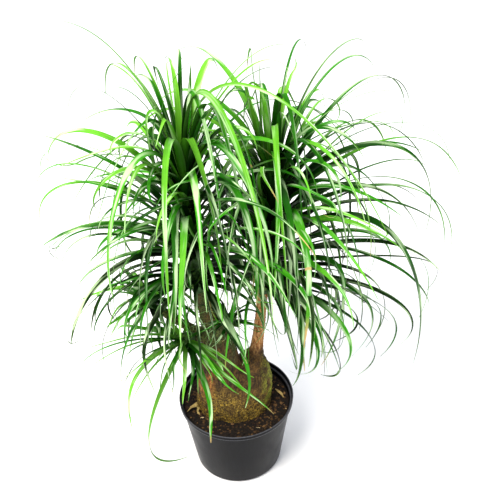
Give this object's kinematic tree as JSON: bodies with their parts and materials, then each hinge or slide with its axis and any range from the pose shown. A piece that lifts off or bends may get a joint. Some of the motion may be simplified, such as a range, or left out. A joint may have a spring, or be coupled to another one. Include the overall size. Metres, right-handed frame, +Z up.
{
  "type": "potted ponytail palm",
  "caption": "Branched ponytail palm with a swollen woody base, long arching strap leaves and a round tapered nursery pot.",
  "frame": {"origin": "centre of the pot's flat underside", "axes": "+Z up along the pot's axis; the plant's front faces -Y, with the left trunk on -X and the right trunk on +X"},
  "size_m": [0.6402, 0.4826, 0.8214],
  "materials": {
    "pot_plastic": "satin moulded polypropylene, charcoal black",
    "potting_mix": "damp crumbly bark and peat mix",
    "bark": "corky furrowed bark, mossy in places",
    "leaf": "leathery strap leaf with a waxy sheen"
  },
  "bodies": {
    "root": {"pot": "pot_plastic", "soil": "potting_mix", "caudex": "bark", "crown_left": "leaf", "crown_right": "leaf", "shoot_low": "leaf", "shoot_side": "leaf", "shoot_inner": "leaf"}
  },
  "joints": []
}
